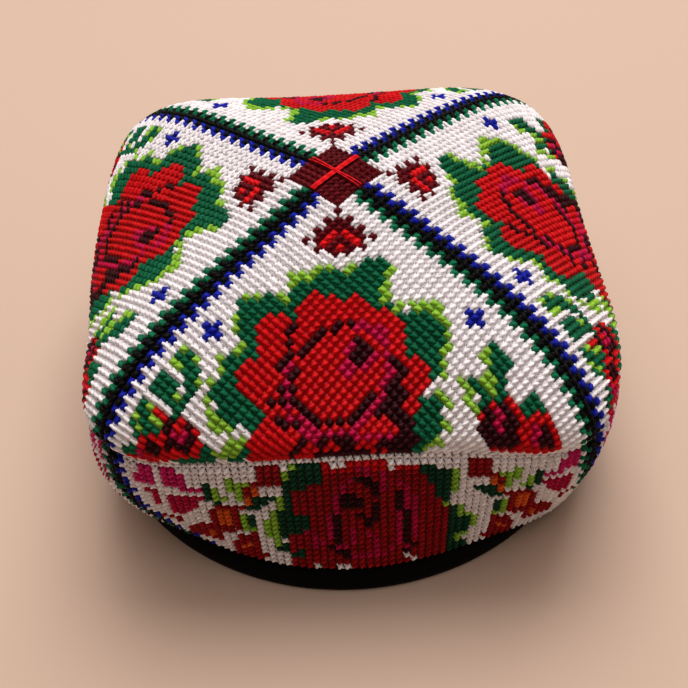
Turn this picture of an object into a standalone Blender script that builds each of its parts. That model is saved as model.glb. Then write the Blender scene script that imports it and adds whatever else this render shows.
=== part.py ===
"""Four-cornered prayer cap of cross-stitched canvas, standing on its velvet rim.

The rim is a circle on the plane z = 0, centred on the z axis. The front of the cap faces -Y.
Four crown panels meet along the diagonals of the plan, and four band panels join the square
fold of the crown to the round rim.
"""

import math

import bpy
import numpy as np

MM = 0.001
GAP = 0.3
WALL = 2.5
CROWN_TIP = 0.8

# The crown, from its middle (share 0) out to the seam with the band (share 1).
# reach: share of the distance from the axis to the seam; height: millimetres above the table.
CORNER_LINE = [
    # reach, height
    (0.000, 110.5), (0.119, 108.8), (0.211, 107.0), (0.303, 105.7), (0.398, 104.4),
    (0.498, 103.2), (0.591, 101.8), (0.682, 100.2), (0.770, 97.9), (0.854, 94.8),
    (0.926, 90.3), (0.982, 85.2), (1.012, 80.0), (1.018, 75.0), (0.996, 70.4),
]
SIDE_LINE = [
    # reach, height
    (0.000, 110.5), (0.095, 109.5), (0.175, 108.2), (0.321, 105.2), (0.451, 101.8),
    (0.582, 97.7), (0.713, 92.8), (0.819, 87.5), (0.909, 81.6), (0.975, 76.0),
    (0.992, 70.4),
]
# The cloth is soft, so no two corners or sides are alike. Angles run from +X towards +Y.
CORNERS = {
    # degrees: (distance of the seam from the axis, how much lower the seam sits)
    225: (107.9, 4.5),
    315: (110.2, 9.1),
    45: (110.8, 9.3),
    135: (104.0, 2.2),
}
SIDES = {
    # panel: (degrees, distance of the seam from the axis, how much lower the seam sits)
    "front": (270, 89.4, 1.1),
    "right": (0, 90.4, 3.7),
    "back": (90, 89.7, -1.1),
    "left": (180, 89.8, 4.6),
}
SQUARENESS = 5.6

RIM_RADIUS = 92.4
RIM_HEIGHT = 12.4
RIM_WALL = 3.4
RIM_ROUND = 0.7
BAND_FOOT_RADIUS = 92.3
BAND_BELLY = 1.8
SEAM_TUCK = 1.2
SEAM_TUCK_SHARE = 0.06

# Sections of each panel: along the profile, and across it from diagonal to diagonal.
CROWN_ROWS = 15
BAND_ROWS = 8
PANEL_STEPS = 24
RIM_STEPS = 96


def smooth_line(rows, count):
    """The table's line as evenly spaced points, with a cubic through the rows."""
    rows = np.array(rows)
    length = np.concatenate([[0], np.cumsum(np.hypot(*np.diff(rows * (100, 1), axis=0).T))])
    slope = np.gradient(rows, length, axis=0)
    slope[0, 1] = 0
    at = np.linspace(0, length[-1], count)
    low = np.clip(np.searchsorted(length, at, side="right") - 1, 0, len(rows) - 2)
    step = (length[low + 1] - length[low])[:, None]
    part = ((at - length[low])[:, None]) / step
    square, cube = part**2, part**3
    return (
        rows[low] * (2 * cube - 3 * square + 1)
        + rows[low + 1] * (3 * square - 2 * cube)
        + slope[low] * step * (cube - 2 * square + part)
        + slope[low + 1] * step * (cube - square)
    )


def corner_share(angle):
    """0 in the middle of a side, 1 on a diagonal, as the outline of a rounded square grows."""
    def reach(turn):
        side = abs(math.cos(turn)) ** SQUARENESS + abs(math.sin(turn)) ** SQUARENESS
        return side ** (-1 / SQUARENESS)
    return (reach(angle) - 1) / (reach(math.pi / 4) - 1)


def crown_profile(panel, angle):
    """Radius and height, row by row, of the crown's outer face in the direction of the angle."""
    middle, side_reach, side_drop = SIDES[panel]
    off_middle = (math.degrees(angle) - middle + 180) % 360 - 180
    corner = (middle + (45 if off_middle > 0 else -45)) % 360
    corner_reach, corner_drop = CORNERS[corner]
    share = corner_share(angle)
    side = smooth_line(SIDE_LINE, CROWN_ROWS + 1)
    diagonal = smooth_line(CORNER_LINE, CROWN_ROWS + 1)
    side_height = side[:, 1] - side_drop * np.clip(side[:, 0], 0, 1) ** 2
    diagonal_height = diagonal[:, 1] - corner_drop * np.clip(diagonal[:, 0], 0, 1) ** 2
    radius = side[:, 0] * side_reach * (1 - share) + diagonal[:, 0] * corner_reach * share
    radius[0] = CROWN_TIP
    return radius, side_height * (1 - share) + diagonal_height * share


def band_profile(panel, angle):
    """Radius and height, row by row, of the band's outer face, from the seam to the rim."""
    radius, height = crown_profile(panel, angle)
    down = np.linspace(0, 1, BAND_ROWS + 1)
    drawn_in = down**BAND_BELLY
    tuck = SEAM_TUCK * np.clip(1 - down / SEAM_TUCK_SHARE, 0, 1) - SEAM_TUCK
    rows = radius[-1] * (1 - drawn_in) + BAND_FOOT_RADIUS * drawn_in - tuck * (1 - down)
    rows[0] = radius[-1]
    return rows, (height[-1] - GAP) * (1 - down) + (RIM_HEIGHT + GAP) * down


def outer_face(panel, profile):
    """Points of a panel's outer face, as rows by steps, a gap short of both diagonals."""
    middle = SIDES[panel][0]
    columns = []
    for step in range(PANEL_STEPS + 1):
        turn = -45 + 90 * step / PANEL_STEPS
        angle = math.radians(middle + turn)
        radius, height = profile(panel, angle)
        columns.append(np.stack([radius * math.cos(angle), radius * math.sin(angle), height], 1))
    points = np.stack(columns, 1)
    return trim_to_gap(points, middle)


def edge_columns(middle):
    """For both edges of a panel: its column, and the direction away from the diagonal's plane."""
    for column, turn in ((0, 45), (-1, -45)):
        away = math.radians(middle + turn)
        yield column, np.array([math.cos(away), math.sin(away), 0])


def trim_to_gap(points, middle):
    """Draws the panel in from both diagonals, so that its edges keep half a gap from them."""
    pull = np.linspace(1, -1, PANEL_STEPS + 1)
    for (_, away), share in zip(edge_columns(middle), (pull, -pull)):
        points += GAP / 2 * np.clip(share, 0, 1)[None, :, None] * away
    return points


def inner_face(outer, middle, level_rows):
    """The outer face moved in by the wall; on level rows it moves level, to keep a flat edge."""
    along = np.gradient(outer, axis=1)
    down = np.gradient(outer, axis=0)
    inward = np.cross(along, down)
    for row in level_rows:
        inward[row, :, 2] = 0
    for column, away in edge_columns(middle):
        inward[:, column] -= np.outer(inward[:, column] @ away, away)
    inward /= np.maximum(np.linalg.norm(inward, axis=2, keepdims=True), 1e-9)
    return outer + inward * WALL


def shell(name, outer, inner, colour, roughness):
    """A closed solid between the two faces, with its own material."""
    rows, columns = outer.shape[:2]
    points = np.concatenate([outer.reshape(-1, 3), inner.reshape(-1, 3)]) * MM
    far = rows * columns

    def at(row, column):
        return row * columns + column

    faces = []
    for row in range(rows - 1):
        for column in range(columns - 1):
            quad = [at(row, column), at(row + 1, column), at(row + 1, column + 1), at(row, column + 1)]
            faces.append(quad)
            faces.append([far + index for index in reversed(quad)])
    border = [at(0, column) for column in range(columns)]
    border += [at(row, columns - 1) for row in range(1, rows)]
    border += [at(rows - 1, column) for column in range(columns - 2, -1, -1)]
    border += [at(row, 0) for row in range(rows - 2, 0, -1)]
    for here, there in zip(border, border[1:] + border[:1]):
        faces.append([here, there, far + there, far + here])
    return solid(name, points, faces, colour, roughness)


def solid(name, points, faces, colour, roughness):
    mesh = bpy.data.meshes.new(name)
    mesh.from_pydata([tuple(point) for point in points], [], faces)
    mesh.shade_smooth()
    mesh.set_sharp_from_angle(angle=math.radians(50))
    made = bpy.data.objects.new(name, mesh)
    bpy.context.collection.objects.link(made)
    material = bpy.data.materials.new(name)
    material.use_nodes = True
    shader = material.node_tree.nodes["Principled BSDF"]
    shader.inputs["Base Color"].default_value = (*colour, 1)
    shader.inputs["Roughness"].default_value = roughness
    shader.inputs["Metallic"].default_value = 0
    mesh.materials.append(material)
    return made


def rim_binding():
    """The velvet ring: flat below, where the cap rests, with rounded lower edges."""
    inside = RIM_RADIUS - RIM_WALL
    section = [(RIM_RADIUS - RIM_ROUND, 0), (inside + RIM_ROUND, 0)]
    section += [(inside + RIM_ROUND * 0.3, RIM_ROUND * 0.3), (inside, RIM_ROUND)]
    section += [(inside, RIM_HEIGHT), (RIM_RADIUS - RIM_ROUND / 2, RIM_HEIGHT)]
    section += [(RIM_RADIUS, RIM_HEIGHT - RIM_ROUND / 2), (RIM_RADIUS + 0.4, RIM_HEIGHT / 2)]
    section += [(RIM_RADIUS, RIM_ROUND), (RIM_RADIUS - RIM_ROUND * 0.3, RIM_ROUND * 0.3)]
    count = len(section)
    points = []
    faces = []
    for step in range(RIM_STEPS):
        turn = 2 * math.pi * step / RIM_STEPS
        points += [(r * math.cos(turn) * MM, r * math.sin(turn) * MM, z * MM) for r, z in section]
        start, after = step * count, (step + 1) % RIM_STEPS * count
        for here in range(count):
            there = (here + 1) % count
            faces.append([start + here, start + there, after + there, after + here])
    return solid("rim_binding", points, faces, (0.006, 0.006, 0.007), 0.9)


def main():
    for old in list(bpy.data.objects):
        bpy.data.objects.remove(old)
    for panel in SIDES:
        crown = outer_face(panel, crown_profile)
        crown_inside = inner_face(crown, SIDES[panel][0], [CROWN_ROWS])
        shell("crown_" + panel, crown, crown_inside, (0.75, 0.70, 0.70), 0.85)
        band = outer_face(panel, band_profile)
        band_inside = inner_face(band, SIDES[panel][0], [0, BAND_ROWS])
        shell("band_" + panel, band, band_inside, (0.55, 0.06, 0.07), 0.85)
    rim_binding()


main()
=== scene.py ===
"""Four-cornered prayer cap, embroidered all over in cross stitch, with a velvet-bound rim.

Every stitch is a real thread of cotton: a crossing leg below and a plump leg on top, laid on the
counted canvas of its panel. Lengths are millimetres until a mesh is made from them. A panel's
stitches are counted from the middle of the crown: across along its blue-edged stripe, and down
along its green-edged one.
"""

import math

import bpy
import numpy as np
from mathutils import Matrix, Vector


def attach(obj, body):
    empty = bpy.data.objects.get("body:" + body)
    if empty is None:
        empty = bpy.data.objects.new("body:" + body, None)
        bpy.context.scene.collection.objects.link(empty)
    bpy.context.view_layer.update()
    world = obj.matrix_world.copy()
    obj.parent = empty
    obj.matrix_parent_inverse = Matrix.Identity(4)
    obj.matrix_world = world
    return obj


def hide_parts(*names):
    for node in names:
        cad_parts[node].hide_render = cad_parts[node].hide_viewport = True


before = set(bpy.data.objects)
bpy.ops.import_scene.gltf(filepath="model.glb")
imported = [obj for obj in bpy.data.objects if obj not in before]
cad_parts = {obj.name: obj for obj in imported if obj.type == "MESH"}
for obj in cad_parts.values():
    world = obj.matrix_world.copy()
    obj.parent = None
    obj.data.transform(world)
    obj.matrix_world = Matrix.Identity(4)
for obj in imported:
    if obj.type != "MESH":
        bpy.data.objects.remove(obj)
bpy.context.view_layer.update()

MM = 0.001
PITCH = 2.54  # canvas with ten stitches to the inch
SEED = 7

# The cap's shape: the solids' own, but for the flat middle, the sags and the sway of this soft cloth
WALL = 2.5  # canvas, stitches and lining together
CORNER_LINE = [
    # reach, height; the long stitches draw the middle square flat, a little below the solid's tip
    (0.000, 109.2), (0.119, 108.8), (0.211, 107.0), (0.303, 105.7), (0.398, 104.4),
    (0.498, 103.2), (0.591, 101.8), (0.682, 100.2), (0.770, 97.9), (0.854, 94.8),
    (0.926, 90.3), (0.982, 85.2), (1.012, 80.0), (1.018, 75.0), (0.996, 70.4),
]
SIDE_LINE = [
    # reach, height
    (0.000, 109.2), (0.095, 109.0), (0.175, 108.2), (0.321, 105.2), (0.451, 101.8),
    (0.582, 97.7), (0.713, 92.8), (0.819, 87.5), (0.909, 81.6), (0.975, 76.0),
    (0.992, 70.4),
]
CORNERS = {
    # degrees: (distance of the seam from the axis, how much lower the seam sits)
    225: (107.9, 4.5),
    315: (110.2, 9.1),
    45: (110.8, 9.3),
    135: (104.0, 2.2),
}
SIDES = {
    # panel: (degrees, distance of the seam from the axis, how much lower the seam sits)
    "front": (270, 89.4, 1.1),
    "right": (0, 90.4, 3.7),
    "back": (90, 89.7, -1.1),
    "left": (180, 89.8, 4.6),
}
SQUARENESS = 5.6  # power of the rounded square that the crown is from above
SEAM_GAP = 0.3
RIM_RADIUS = 92.4
RIM_HEIGHT = 12.4
RIM_WALL = 3.4
RIM_ROUND = 0.7
BAND_FOOT_RADIUS = 92.3
BAND_BELLY = 1.8  # power by which the band draws in to its foot; above 1 it bellies out
BAND_SAGS = [
    # where the soft band sags at the front corners: degrees, half width in degrees, millimetres
    # outwards at mid height, and outwards and down at its foot, over the rim
    (211, 18, 5.0, 2.5, 3.5),
    (317, 15, -0.5, 5.4, 8.5),
    (341, 13, 5.0, -1.0, 0.0),
]
BAND_SAG_POWER = 1.25  # above 1, a sag hangs a little below mid height
CROWN_SAGS = [
    # where the fold of the crown stands out: degrees, half width in degrees, millimetres
    (203, 16, -2.0),
    (335, 16, 2.2),
]
CROWN_SAG_POWER = 4  # how quickly it dies away from the fold to the middle
# At this corner the stripe sways to the front on the crown, and back again down the band:
# degrees, half width in degrees, degrees of sway on the crown, degrees of sway back on the band.
CORNER_SWAY = (315, 18, -2.4, 6.0)
SWAY_FULL_AT = 100  # millimetres from the axis; it grows by the cube of that distance
SWAY_GROWS_TO = 110
SWAY_BACK_FROM = 65  # millimetres above the table
SEAM_TUCK = 1.2  # the seam is drawn in this far under the band's top edge
SEAM_TUCK_SHARE = 0.06  # of the band's height, over which the band stands out again
HOLLOW = np.array([0, 0, 40.0])  # a place inside the cap, which outward points away from

# How finely the cloth's face is followed
PROFILE_STEPS = 60
SAMPLES = 2  # places to a stitch
CROWN_OVERLAP = 44  # degrees past the stripes of a panel
BAND_OVERLAP = 9
BAND_TURN_STEP = 0.5
BAND_GRID_HALF = 36  # stitches from a band panel's middle, past its corners

# The cloth
CROWN_COUNT = 56  # stitches from the middle of the crown, more than any panel has
BAND_ROWS = 22
CANVAS_DEPTH = 1.3  # millimetres from the cloth's face, which the crests follow, to the canvas
CROWN_CANVAS_STEPS = (24, 30)  # from the middle to the seam, and from stripe to stripe
BAND_CANVAS_STEPS = (14, 36)  # from the seam to the rim, and from corner to corner
RIM_STEPS = 192

# Threads of mercerised cotton. The low legs lie deep in the cloth; their darker colour is painted shade.
THREADS = {
    # thread: (colour, darkening of its low legs, which is painted shade)
    "white": ("#F0EBEF", 0.88),
    "green": ("#06603E", 0.55),
    "lime": ("#8CC03A", 0.65),
    "blue": ("#101E9E", 0.6),
    "black": ("#040405", 0.6),
    "red": ("#C6070F", 0.68),
    "maroon": ("#32020A", 0.55),
    "wine": ("#5C0510", 0.6),
    "crimson": ("#B5043F", 0.6),
    "pink": ("#CC1B6A", 0.7),
    "orange": ("#D9591C", 0.65),
    "ruby": ("#930611", 0.6),
    "scarlet": ("#DC1119", 0.7),
    "emerald": ("#086C48", 0.6),
    "pine": ("#044029", 0.5),
    # the band's red below its top rows, darkened as painted shade
    "garnet": ("#97040D", 0.6),
}
THREAD_ORDER = list(THREADS)


def smooth_line(rows, count):
    """The table's line as evenly spaced points, with a cubic through the rows."""
    rows = np.array(rows)
    length = np.concatenate([[0], np.cumsum(np.hypot(*np.diff(rows * (100, 1), axis=0).T))])
    slope = np.gradient(rows, length, axis=0)
    slope[0, 1] = 0
    at = np.linspace(0, length[-1], count)
    low = np.clip(np.searchsorted(length, at, side="right") - 1, 0, len(rows) - 2)
    step = (length[low + 1] - length[low])[:, None]
    part = ((at - length[low])[:, None]) / step
    square, cube = part**2, part**3
    return (
        rows[low] * (2 * cube - 3 * square + 1)
        + rows[low + 1] * (3 * square - 2 * cube)
        + slope[low] * step * (cube - 2 * square + part)
        + slope[low + 1] * step * (cube - square)
    )


SIDE_PROFILE = smooth_line(SIDE_LINE, PROFILE_STEPS + 1)
CORNER_PROFILE = smooth_line(CORNER_LINE, PROFILE_STEPS + 1)


def corner_share(angle):
    """0 in the middle of a side, 1 on a diagonal, as the outline of a rounded square grows."""
    def reach(turn):
        side = abs(math.cos(turn)) ** SQUARENESS + abs(math.sin(turn)) ** SQUARENESS
        return side ** (-1 / SQUARENESS)
    return (reach(angle) - 1) / (reach(math.pi / 4) - 1)


def turn_from(middle, degrees):
    """Degrees from the middle direction to the other, the short way round."""
    return (degrees - middle + 180) % 360 - 180


def closeness(degrees, middle, spread):
    """1 at the middle direction, falling to nothing beyond the spread."""
    return math.exp(-(turn_from(middle, degrees) / spread) ** 2)


def crown_profile(panel, degrees):
    """Radius and height down the crown's outer face, in the direction of the angle."""
    middle, side_reach, side_drop = SIDES[panel]
    off_middle = turn_from(middle, degrees)
    corner_reach, corner_drop = CORNERS[(middle + (45 if off_middle > 0 else -45)) % 360]
    share = corner_share(math.radians(degrees))
    side, corner = SIDE_PROFILE, CORNER_PROFILE
    side_height = side[:, 1] - side_drop * np.clip(side[:, 0], 0, 1) ** 2
    corner_height = corner[:, 1] - corner_drop * np.clip(corner[:, 0], 0, 1) ** 2
    radius = side[:, 0] * side_reach * (1 - share) + corner[:, 0] * corner_reach * share
    for sag_middle, spread, outwards in CROWN_SAGS:
        near = closeness(degrees, sag_middle, spread)
        radius = radius + outwards * near * np.clip(radius / radius[-1], 0, 1) ** CROWN_SAG_POWER
    return radius, side_height * (1 - share) + corner_height * share


def band_profile(panel, degrees):
    """Radius and height down the band's outer face, from the seam to the rim."""
    radius, height = crown_profile(panel, degrees)
    down = np.linspace(0, 1, PROFILE_STEPS + 1)
    foot_radius, foot_height = BAND_FOOT_RADIUS, RIM_HEIGHT + SEAM_GAP
    for middle, spread, outwards, foot_outwards, foot_down in BAND_SAGS:
        near = closeness(degrees, middle, spread)
        foot_radius += foot_outwards * near
        foot_height -= foot_down * near
    drawn_in = down**BAND_BELLY
    tuck = SEAM_TUCK * np.clip(1 - down / SEAM_TUCK_SHARE, 0, 1) - SEAM_TUCK
    rows = radius[-1] * (1 - drawn_in) + foot_radius * drawn_in - tuck * (1 - down)
    rows[0] = radius[-1]
    for middle, spread, outwards, _, _ in BAND_SAGS:
        near = closeness(degrees, middle, spread)
        rows += outwards * near * np.sin(math.pi * down**BAND_SAG_POWER)
    return rows, (height[-1] - SEAM_GAP) * (1 - down) + foot_height * down


def turned(radius, height, degrees):
    """Points at the radii and heights, in the direction of the angle."""
    corner, spread, sway, sway_back = CORNER_SWAY
    bend = sway * (np.clip(radius, 0, SWAY_GROWS_TO) / SWAY_FULL_AT) ** 3
    bend += sway_back * np.sqrt(np.clip(1 - height / SWAY_BACK_FROM, 0, 1))
    angle = np.radians(degrees + bend * closeness(degrees, corner, spread))
    return np.stack([radius * np.cos(angle), radius * np.sin(angle), height], 1)


def lengths_along(points):
    """The length of the line of points, up to each of them."""
    return np.concatenate([[0], np.cumsum(np.linalg.norm(np.diff(points, axis=0), axis=1))])


def places_along(points, length, at):
    """Places on the line of points, at the lengths."""
    return np.stack([np.interp(at, length, points[:, axis]) for axis in range(3)], 1)


def between(grid, u, v):
    """The grid's points at fractional rows u and columns v, carried on past its edges."""
    row = np.clip(np.floor(u).astype(int), 0, grid.shape[0] - 2)
    column = np.clip(np.floor(v).astype(int), 0, grid.shape[1] - 2)
    a, b = (u - row)[..., None], (v - column)[..., None]
    upper = grid[row, column] * (1 - b) + grid[row, column + 1] * b
    lower = grid[row + 1, column] * (1 - b) + grid[row + 1, column + 1] * b
    return upper * (1 - a) + lower * a


def crown_surface(panel):
    """A function from stitch counts to points of the crown's face, and one for room to the seam."""
    start = SIDES[panel][0] - 45
    first, last = -CROWN_OVERLAP, 90 + CROWN_OVERLAP
    lines, lengths = [], []
    for turn in range(first, last + 1):
        points = turned(*crown_profile(panel, start + turn), start + turn)
        length = lengths_along(points)
        at = np.arange(CROWN_COUNT * SAMPLES + 1) * PITCH / SAMPLES
        beyond = np.clip(at - length[-1], 0, None)[:, None]
        ending = (points[-1] - points[-3]) / np.linalg.norm(points[-1] - points[-3])
        lines.append(places_along(points, length, at) + beyond * ending)
        lengths.append(length[-1])
    grid, lengths = np.stack(lines), np.array(lengths)

    def place(across, down):
        turn = np.degrees(np.arctan2(down, across))
        return between(grid, turn - first, np.hypot(across, down) * SAMPLES)

    def room(across, down):
        """Stitches from the place straight out to the seam."""
        turn = np.degrees(np.arctan2(down, across))
        return np.interp(turn, np.arange(first, last + 1), lengths) / PITCH - np.hypot(across, down)

    return place, room


def band_surface(panel):
    """The same for the band: counts from the panel's middle and from the seam."""
    middle = SIDES[panel][0]
    reach, half = 45 + BAND_OVERLAP, BAND_GRID_HALF
    turns = np.arange(-reach, reach + BAND_TURN_STEP, BAND_TURN_STEP)
    face = np.stack([turned(*band_profile(panel, middle + turn), middle + turn) for turn in turns], 1)
    at = np.arange(-SAMPLES * half, SAMPLES * half + 1) * PITCH / SAMPLES
    rows, edges = [], []
    for line in face:
        length = lengths_along(line)
        length -= np.interp(0, turns, length)
        rows.append(places_along(line, length, at))
        edges.append(np.interp([-45, 45], turns, length) / PITCH)
    grid, edges = np.stack(rows), np.array(edges)
    per_row = PROFILE_STEPS / BAND_ROWS

    def place(across, down):
        return between(grid, down * per_row, (across + half) * SAMPLES)

    def room(across, down):
        """Stitches to the corner at the left (from outside) and at the right."""
        steps = np.arange(len(edges))
        left = np.interp(down * per_row, steps, edges[:, 0])
        right = np.interp(down * per_row, steps, edges[:, 1])
        return across - left, right - across

    return place, room


# The pattern of a crown panel, in stitches across and down from the middle of the crown
CROWN_SHAPES = [
    # thread, corners of the outline
    ("green", [
        (6.5, 15.5), (6.5, 14.5), (8.5, 12.5), (11.5, 12.4), (12.5, 9.5), (15.5, 9.4), (15.6, 8.5),
        (18.4, 8.5), (18.4, 9.5), (19.5, 9.5), (19.5, 6.5), (21.4, 6.5), (22.5, 4.5), (23.5, 4.5),
        (26.5, 8), (26.5, 9.5), (28.5, 9.5), (28.5, 8.5), (30.5, 8.5), (31, 9.5), (34.5, 9.5),
        (34.5, 11.5), (35.5, 11.5), (35.5, 14.5), (34.5, 14.6), (34.5, 16.5), (20, 20), (10.5, 19.5),
        (10.5, 18.5), (11.5, 18.5), (11.5, 17.5), (10.5, 17.5), (10.5, 16.5), (8.5, 16.5), (8.5, 15.5),
    ]),
    ("green", [
        (11.5, 20.5), (9.5, 21.5), (8.5, 22.5), (8.5, 25.5), (9.5, 27.5), (11.5, 27.5), (12.5, 29.5),
        (14.5, 29.5), (16, 26), (15, 23),
    ]),
    ("green", [
        (15.5, 30.5), (18, 29.5), (22, 31), (25, 33), (22, 36), (20.5, 34.5), (18, 34.4), (15.5, 32.5),
    ]),
    ("red", [
        (20.5, 9.5), (21.5, 9.4), (21.5, 8.5), (24.5, 8.5), (26.5, 10.5), (26.6, 11.5), (27.4, 11.5),
        (27.5, 10.5), (30.5, 10.5), (31.5, 11.5), (31.5, 16.5), (36.5, 16.4), (40, 20), (26, 34),
        (20.4, 33), (19.6, 30.6), (17.5, 30.5), (17.4, 29.5), (14.5, 29.5), (13.5, 28), (13.5, 25.5),
        (14.6, 25.4), (14.4, 24.5), (12.5, 22.5), (11.5, 21.5), (11.5, 18.5), (12.5, 18.4),
        (12.5, 14.5), (14.5, 14.4), (14.5, 12.5), (15.5, 12.4), (15.5, 10.5), (19.5, 10.5),
        (19.6, 11.5), (20.4, 11.5),
    ]),
    ("maroon", [(16.5, 18.5), (17.5, 18.5), (17.6, 19.5), (19.5, 19.5), (19.5, 21.5), (16.5, 21.5)]),
    ("maroon", [
        (15.5, 23.5), (16.5, 23.5), (16.6, 25.5), (19.5, 25.5), (19.6, 26.5), (23.5, 26.5),
        (23.4, 27.5), (21.6, 27.6), (21.6, 31), (24.6, 29.6), (27, 27), (27, 25.6), (36, 24), (24, 35),
        (20.4, 32.6), (19.6, 30.6), (19.6, 28.6), (17.6, 28.6), (17.6, 26.6), (15.4, 26.6),
    ]),
    ("green", [
        (31.5, 5.5), (31.5, 4.5), (32.4, 3.5), (33.6, 3.5), (33.6, 5.6), (35.6, 6.5), (35.6, 7.5),
        (39.5, 7.5), (39.5, 8.5), (34.5, 8.5), (34.4, 7.5), (32.5, 7.5), (32.4, 5.6),
    ]),
    ("green", [(35.5, 6.5), (35.5, 4.5), (36.5, 3.5), (38.5, 3.5), (38.5, 8), (37.5, 8), (37.4, 6.6)]),
    ("green", [
        (39.5, 4.5), (39.5, 3.5), (41.5, 3.5), (44.6, 4.5), (44.5, 5.5), (42.5, 7.5), (41.4, 7.5),
        (41.4, 5.5),
    ]),
    ("red", [
        (39.4, 7.5), (39.4, 5.5), (40.6, 5.5), (40.6, 7.6), (42.4, 7.6), (44.4, 4.4), (50, 3), (48, 8),
        (44, 12), (39.4, 12.6), (38.5, 11.5), (38.5, 8.5), (39.4, 8.5),
    ]),
    ("maroon", [
        (38.5, 9.5), (38.5, 10.5), (39.4, 10.6), (39.4, 11.5), (42, 11.5), (43.5, 9.5), (43.5, 8.5),
        (41.5, 8.5), (41.5, 7.5), (39.5, 7.5), (39.5, 8.4), (42, 9),
    ]),
    ("maroon", [(43.5, 6.5), (45.5, 6.5), (45.5, 8), (44, 9)]),
    ("green", [(39.5, 12.5), (46, 9.5), (46, 13), (40, 15)]),
    ("lime", [(35.5, 15.5), (41, 13.6), (41, 16.5), (36.5, 17)]),
    ("green", [(36.6, 16.5), (41, 15.6), (40, 18), (37, 17.6)]),
    ("green", [
        (5.5, 31.5), (6.5, 31.5), (8.5, 33.5), (8.6, 35.4), (10.5, 36.5), (10.5, 37.5), (8.4, 37.5),
        (7.4, 35.6), (5.5, 35.5),
    ]),
    ("green", [(10.5, 32.5), (11.5, 32.5), (11.6, 35.5), (12.5, 35.5), (12.5, 36.5), (10.5, 36.5)]),
    ("green", [
        (6.4, 39.5), (8.5, 39.5), (9.5, 41.5), (7.6, 41.5), (6.5, 43.5), (5.5, 43.5), (5.5, 40.5),
    ]),
    ("red", [
        (10.5, 36.5), (13.5, 36.5), (15, 38), (15, 41), (11, 46), (7, 49), (5.5, 48), (5.5, 43.5),
        (6.4, 41.5), (8.6, 41.5), (8.6, 40.5), (8.5, 37.5), (10.5, 37.5),
    ]),
    ("maroon", [
        (9.5, 37.6), (11.5, 37.6), (11.5, 36.5), (12.5, 36.5), (12.5, 37.6), (14.5, 37.8), (14.5, 40.5),
        (12, 43.5), (10.4, 44), (10.4, 42), (9.5, 40.5),
    ]),
    ("maroon", [(6.5, 44.5), (7.5, 43.5), (9.5, 43.5), (9, 46), (7, 48)]),
]
CROWN_LINES = [
    # thread, runs of stitches, each through its places
    ("lime", [
        [(7, 16), (8, 16), (9, 17), (10, 17), (10, 18), (11, 18)],
        [(11, 20), (9, 21), (7, 23), (7, 24), (8, 25), (8, 26), (9, 27), (11, 28), (12, 29), (13, 30)],
        [(9, 22), (8, 23), (8, 24)], [(15, 31), (15, 33)], [(17, 34), (17, 35)],
        [(19, 36), (19, 35), (21, 35)], [(10, 12), (11, 12)],
        [(12, 10), (13, 9), (15, 9), (15, 8), (17, 8)], [(16, 7)], [(19, 8), (19, 9)],
        [(21, 6), (22, 5)], [(25, 6), (26, 7)], [(27, 9), (28, 9)], [(30, 8), (31, 9)],
        [(33, 9), (34, 8)], [(35, 10), (37, 12), (37, 13), (36, 14), (36, 12)],
    ]),
    ("maroon", [
        [(21, 12), (22, 12), (24, 14), (26, 14)], [(16, 17), (18, 16), (19, 15), (23, 15)],
        [(25, 16), (27, 17), (28, 18), (28, 22), (26, 24), (25, 25), (21, 25)],
        [(28, 16), (29, 17), (30, 16)], [(31, 18), (31, 19), (30, 20), (31, 22), (34, 22)],
        [(30, 24), (27, 25), (26, 27)],
    ]),
    ("crimson", [
        [(25, 15), (26, 15), (27, 16), (28, 17), (30, 19), (29, 20), (29, 22), (30, 22), (30, 21)],
        [(30, 23), (29, 23), (27, 25), (26, 26), (20, 26)],
        [(16, 18), (15, 18), (15, 22), (16, 23), (17, 24), (17, 25), (19, 25)],
        [(14, 20), (14, 21)],
        [(18, 19), (19, 19), (20, 20), (21, 20), (21, 21), (20, 21), (19, 22), (17, 22)],
    ]),
    ("red", [[(22, 28), (23, 28), (23, 27)], [(22, 29), (23, 29), (22, 30)]]),
    ("crimson", [[(26, 27), (25, 28), (24, 29), (23, 30)]]),
    ("red", [[(27, 28), (26, 29), (25, 31)], [(29, 26), (30, 25), (31, 24)]]),
    ("crimson", [[(40, 10), (41, 10), (41, 9)]]),
    ("red", [[(40, 9)], [(40, 12), (42, 12)], [(43, 11), (43, 10), (44, 10)]]),
    ("maroon", [[(41, 11), (42, 11)]]),
    ("white", [[(39, 12)], [(45, 5), (46, 4)]]),
    ("green", [[(46, 5), (47, 5), (47, 4), (48, 4)]]),
    ("crimson", [
        [(46, 6), (47, 6), (47, 7)], [(11, 38), (11, 39), (12, 39), (12, 40)],
        [(8, 43), (8, 44), (9, 44), (9, 45)],
    ]),
    ("lime", [
        [(32, 4)], [(34, 4), (34, 5)], [(32, 6)], [(34, 8), (33, 9)], [(37, 7)], [(40, 5)],
        [(42, 4), (43, 5)], [(41, 6), (41, 7)], [(7, 32), (8, 32), (8, 33)],
        [(9, 34), (10, 34), (10, 36)], [(9, 35)], [(12, 32), (12, 34), (13, 34), (13, 36)],
    ]),
]
SMALL_CROSSES = [(28, 5), (5, 28)]  # the middle stitch of each
FLOWER_CORNER = 5  # the first row and column of the flower beside the middle square
FLOWER = [
    "m.m.m.m",
    ".mmmmm.",
    "mmmrrrm",
    ".mrmmm.",
    "mmrmrm.",
    ".mrmm..",
    "m.m....",
]
FLOWER_THREADS = {"m": "wine", "r": "scarlet"}
MIDDLE_SQUARE = 4  # stitches from the middle of the crown to the square's edge

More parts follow.
